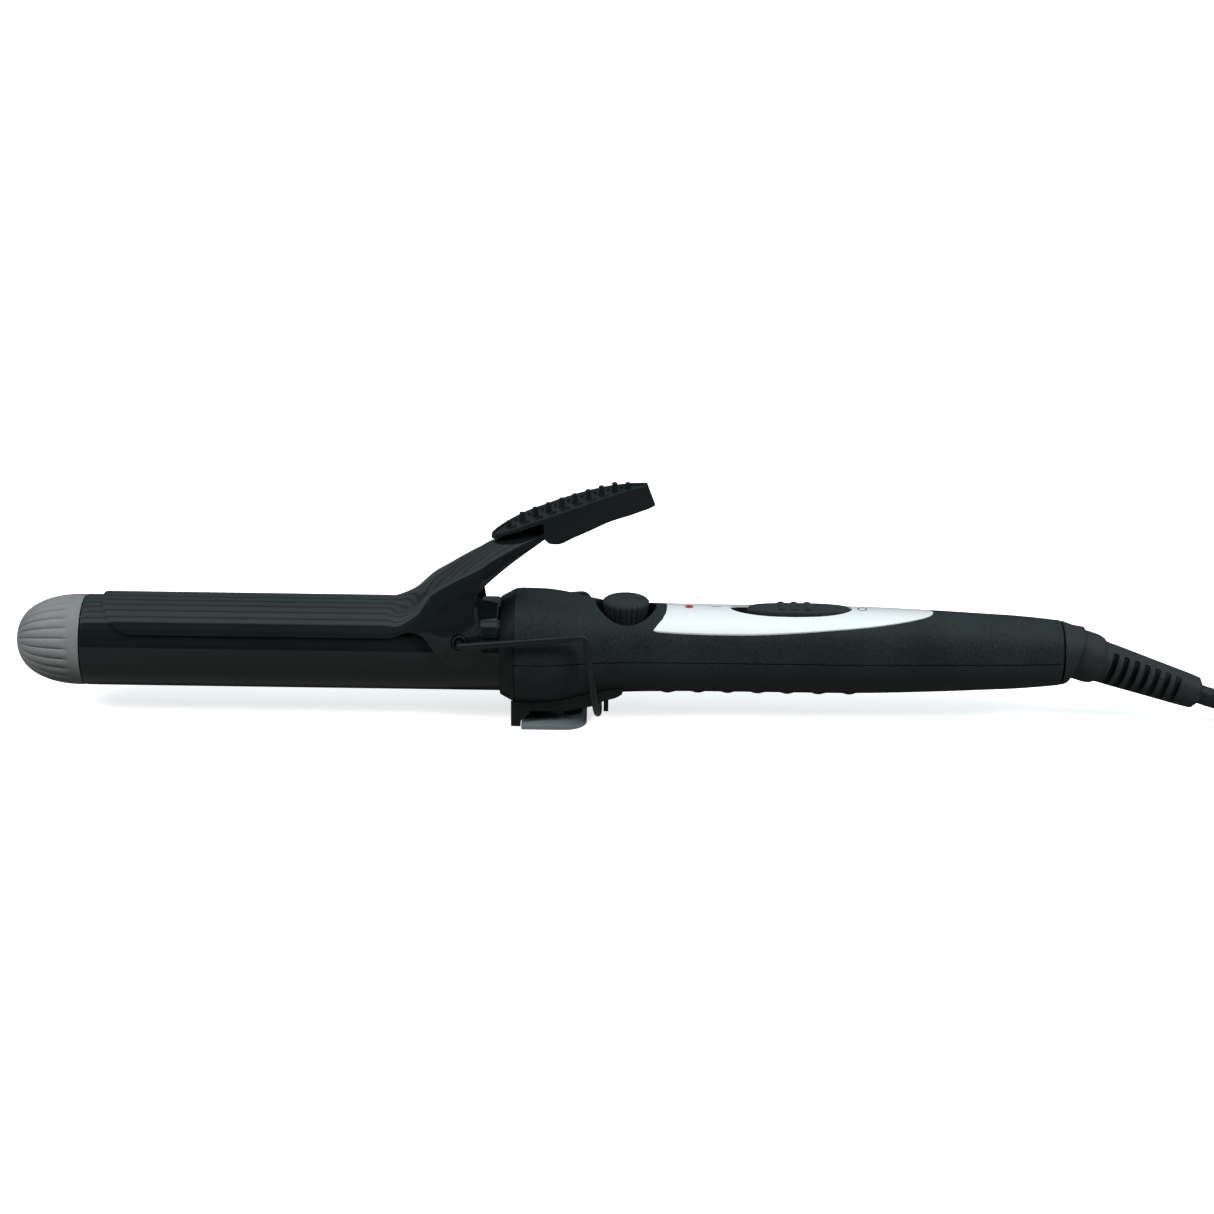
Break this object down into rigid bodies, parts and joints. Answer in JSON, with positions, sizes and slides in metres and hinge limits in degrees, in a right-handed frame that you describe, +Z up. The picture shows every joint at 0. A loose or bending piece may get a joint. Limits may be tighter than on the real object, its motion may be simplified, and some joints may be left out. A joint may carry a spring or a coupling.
{
  "type": "curling iron",
  "caption": "Hair curling iron with a sprung clip and thumb lever, cool tip, wire stand, heat dial, sliding switch, lamp, swivel strain relief and a bundled mains cord with plug.",
  "frame": {"origin": "on the underside of the rest plate, below the barrel axis, on the surface that the iron stands on", "axes": "+X along the barrel axis from the cool tip towards the cord, +Z up with the thumb lever on top, +Y to the far side when the cord is on the right"},
  "size_m": [0.5173, 0.0496, 0.0677],
  "materials": {
    "gloss_coat": "glossy black ceramic coating",
    "grey_tip": "satin warm grey heat-resistant plastic",
    "soft_black": "soft-touch black with a fine grain",
    "satin_black": "satin black moulded plastic",
    "black_wire": "black coated steel wire",
    "silver_trim": "silver painted trim",
    "red_lens": "clear red lamp lens",
    "steel": "satin steel",
    "brass": "bright brass",
    "aluminium": "extruded aluminium",
    "white_ceramic": "matt white ceramic",
    "board": "green circuit board",
    "rubber_black": "matt black flexible vinyl"
  },
  "bodies": {
    "handle": {"barrel": "gloss_coat", "pivot_saddle": "gloss_coat", "cool_tip": "grey_tip", "handle_upper_shell": "soft_black", "handle_lower_shell": "soft_black", "front_collar": "satin_black", "slide_switch": "satin_black", "rest_heel": "satin_black", "trim_panel": "silver_trim", "indicator_lens": "red_lens", "indicator_led": "red_lens", "thermal_fuse": "steel", "pivot_pin_near": "steel", "pivot_pin_far": "steel", "clip_spring": "steel", "shell_screw_front": "steel", "shell_screw_rear": "steel", "potentiometer": "steel", "sole_plate": "steel", "sole_screw_front": "steel", "sole_screw_rear": "steel", "brush_live": "brass", "brush_neutral": "brass", "heat_spreader_upper": "aluminium", "heat_spreader_lower": "aluminium", "heater_core": "white_ceramic", "thermistor": "white_ceramic", "ceramic_bush": "white_ceramic", "heat_shield": "white_ceramic", "swivel_bush": "white_ceramic", "control_board": "board", "heater_lead_live": "rubber_black", "heater_lead_neutral": "rubber_black"},
    "clip": {"clip_spoon": "gloss_coat", "thumb_rest": "satin_black", "thumb_rest_screw": "steel"},
    "stand": {"wire_stand": "black_wire"},
    "dial": {"dial_knob": "satin_black"},
    "slider": {"switch_slider": "satin_black"},
    "swivel": {"swivel_neck": "satin_black", "slip_ring_live": "brass", "slip_ring_neutral": "brass", "strain_relief": "rubber_black", "cord_tube": "rubber_black", "cord_hank": "rubber_black", "cord_tie": "satin_black", "cord_tail": "rubber_black", "plug_body": "rubber_black", "plug_relief": "rubber_black", "plug_pin_near": "steel", "plug_pin_far": "steel"}
  },
  "joints": [
    {"name": "clip_hinge", "type": "hinge", "parent": "handle", "child": "clip", "pos_m": [-0.0257, 0, 0.0263], "axis": [0, 1, 0], "range_deg": [0, 26], "stiffness_Nm_per_rad": 0.2, "springref_deg": -20.05, "deforming": ["clip_spring"]},
    {"name": "stand_hinge", "type": "hinge", "parent": "handle", "child": "stand", "pos_m": [-0.0257, 0, 0.0263], "axis": [0, 1, 0], "range_deg": [0, 62]},
    {"name": "dial_turn", "type": "hinge", "parent": "handle", "child": "dial", "pos_m": [0.0191, 0, 0.0305], "axis": [0, 0, 1], "range_deg": [0, 270]},
    {"name": "switch_slide", "type": "slide", "parent": "handle", "child": "slider", "axis": [-1, 0, 0], "range_m": [0, 0.004]},
    {"name": "swivel_turn", "type": "hinge", "parent": "handle", "child": "swivel", "pos_m": [0.139, 0, 0.0205], "axis": [1, 0, 0], "continuous": true}
  ]
}
